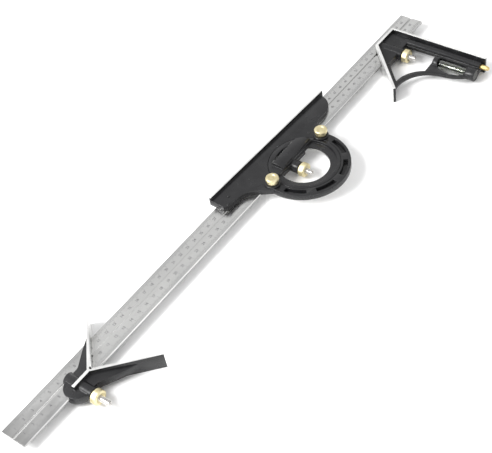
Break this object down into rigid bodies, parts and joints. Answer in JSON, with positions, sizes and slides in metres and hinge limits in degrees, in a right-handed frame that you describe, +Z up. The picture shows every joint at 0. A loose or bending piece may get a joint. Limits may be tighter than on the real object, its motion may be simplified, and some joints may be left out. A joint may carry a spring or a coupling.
{
  "type": "combination square set",
  "caption": "Combination square set: grooved steel rule with sliding square, protractor and centre heads, each clamped by a forked bolt and a knurled brass nut, plus levels and a scriber.",
  "frame": {"origin": "centre of the bounding box at its base, the plane that the square head and the centre head rest on", "axes": "+X along the rule from its zero end, +Y away from the edge that the heads clamp against, +Z up from the bench to the graduated face"},
  "size_m": [0.6096, 0.1418, 0.0253],
  "materials": {
    "rule_steel": "satin ground steel with etched black numbers and lines",
    "scale_steel": "satin steel with etched degree lines",
    "bright_steel": "bright turned steel",
    "head_enamel": "satin black enamel over cast iron, with bare ground working edges",
    "brass": "turned and knurled brass",
    "vial_glass": "clear glass with dark green level fluid",
    "vial_plug": "dark matte setting compound"
  },
  "bodies": {
    "rule": {"steel_rule": "rule_steel"},
    "square_head": {"square_head_casting": "head_enamel", "square_level_vial": "vial_glass", "square_vial_plug_inner": "vial_plug", "square_vial_plug_outer": "vial_plug", "scriber_bush": "brass", "square_clamp_spring": "bright_steel"},
    "square_bolt": {"square_clamp_bolt": "bright_steel"},
    "square_nut": {"square_clamp_nut": "brass"},
    "scriber": {"scriber_needle": "bright_steel", "scriber_knob": "brass"},
    "turret": {"protractor_turret": "head_enamel", "protractor_scale_ring": "scale_steel", "protractor_level_vial": "vial_glass", "protractor_vial_plug_left": "vial_plug", "protractor_vial_plug_right": "vial_plug", "protractor_clamp_spring": "bright_steel"},
    "turret_bolt": {"protractor_clamp_bolt": "bright_steel"},
    "turret_nut": {"protractor_clamp_nut": "brass"},
    "protractor": {"protractor_frame": "head_enamel", "lock_shoe_left": "head_enamel", "lock_shoe_right": "head_enamel"},
    "left_lock": {"lock_screw_left": "brass"},
    "right_lock": {"lock_screw_right": "brass"},
    "centre_head": {"centre_head_casting": "head_enamel", "centre_clamp_spring": "bright_steel"},
    "centre_bolt": {"centre_clamp_bolt": "bright_steel"},
    "centre_nut": {"centre_clamp_nut": "brass"}
  },
  "joints": [
    {"name": "square_head_slide", "type": "slide", "parent": "rule", "child": "square_head", "axis": [1, 0, 0], "range_m": [-0.01, 0.0316]},
    {"name": "turret_slide", "type": "slide", "parent": "rule", "child": "turret", "axis": [1, 0, 0], "range_m": [-0.07, 0.01]},
    {"name": "centre_head_slide", "type": "slide", "parent": "rule", "child": "centre_head", "axis": [1, 0, 0], "range_m": [-0.047, 0.05]},
    {"name": "protractor_turn", "type": "hinge", "parent": "turret", "child": "protractor", "pos_m": [0.0592, 0.01168, 0.01], "axis": [0, 0, 1], "range_deg": [-180, 180]},
    {"name": "left_lock_turn", "type": "hinge", "parent": "protractor", "child": "left_lock", "pos_m": [0.0213, 0.02101, 0.0165], "axis": [0, 0, 1], "range_deg": [0, 180]},
    {"name": "right_lock_turn", "type": "hinge", "parent": "protractor", "child": "right_lock", "pos_m": [0.09766, 0.01835, 0.0165], "axis": [0, 0, 1], "range_deg": [0, 180]},
    {"name": "square_nut_turn", "type": "hinge", "parent": "square_head", "child": "square_nut", "pos_m": [0.2482, 0.02778, 0.0088], "axis": [0, -1, 0], "range_deg": [0, 360]},
    {"name": "square_bolt_slide", "type": "slide", "parent": "square_head", "child": "square_bolt", "axis": [0, 1, 0], "range_m": [0, 0.0008]},
    {"name": "turret_nut_turn", "type": "hinge", "parent": "turret", "child": "turret_nut", "pos_m": [0.0572, 0.02778, 0.0088], "axis": [0, -1, 0], "range_deg": [0, 360]},
    {"name": "turret_bolt_slide", "type": "slide", "parent": "turret", "child": "turret_bolt", "axis": [0, 1, 0], "range_m": [0, 0.0008]},
    {"name": "centre_nut_turn", "type": "hinge", "parent": "centre_head", "child": "centre_nut", "pos_m": [-0.2388, 0.02778, 0.0088], "axis": [0, -1, 0], "range_deg": [0, 360]},
    {"name": "centre_bolt_slide", "type": "slide", "parent": "centre_head", "child": "centre_bolt", "axis": [0, 1, 0], "range_m": [0, 0.0008]},
    {"name": "scriber_pull", "type": "slide", "parent": "square_head", "child": "scriber", "axis": [0, -1, 0], "range_m": [0, 0.045]}
  ],
  "couplings": [
    {"joint": "square_nut_turn", "follows": "square_bolt_slide", "rad_per_m": 7853.2},
    {"joint": "turret_nut_turn", "follows": "turret_bolt_slide", "rad_per_m": 7853.2},
    {"joint": "centre_nut_turn", "follows": "centre_bolt_slide", "rad_per_m": 7853.2}
  ]
}
